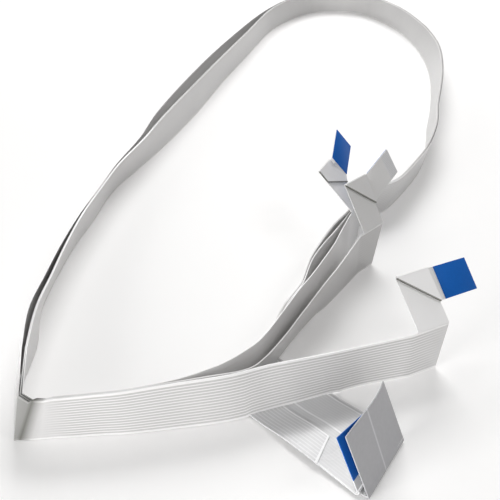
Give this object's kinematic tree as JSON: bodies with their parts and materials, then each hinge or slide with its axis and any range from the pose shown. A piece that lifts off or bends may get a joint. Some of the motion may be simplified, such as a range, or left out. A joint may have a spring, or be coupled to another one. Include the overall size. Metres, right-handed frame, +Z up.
{
  "type": "printhead cable",
  "caption": "Flat flexible ribbons standing on edge in a long loop, folded to stiffened plug-in ends, that link a moving printhead to its control board.",
  "frame": {"origin": "centre of the box on the table plane that the loop stands on", "axes": "+X to the right of the picture, +Y away from its camera along the loop, +Z up"},
  "size_m": [0.1938, 0.5006, 0.0392],
  "materials": {
    "ribbon_film": "satin white film over tinned conductors",
    "head_film": "satin white film over tinned conductors",
    "blue_stiffener": "smooth royal blue",
    "grey_stiffener": "plain grey",
    "tinned_contacts": "bare tinned copper"
  },
  "bodies": {
    "root": {"ribbon_a": "ribbon_film", "ribbon_b": "ribbon_film", "ribbon_c": "ribbon_film", "head_film_outer": "head_film", "head_film_inner": "head_film", "stiffener_a": "blue_stiffener", "stiffener_b": "blue_stiffener", "stiffener_c": "blue_stiffener", "head_stiffener_outer": "grey_stiffener", "head_stiffener_inner": "blue_stiffener", "contacts_a": "tinned_contacts", "contacts_b": "tinned_contacts", "contacts_c": "tinned_contacts", "contacts_head_outer": "tinned_contacts", "contacts_head_inner": "tinned_contacts"}
  },
  "joints": []
}
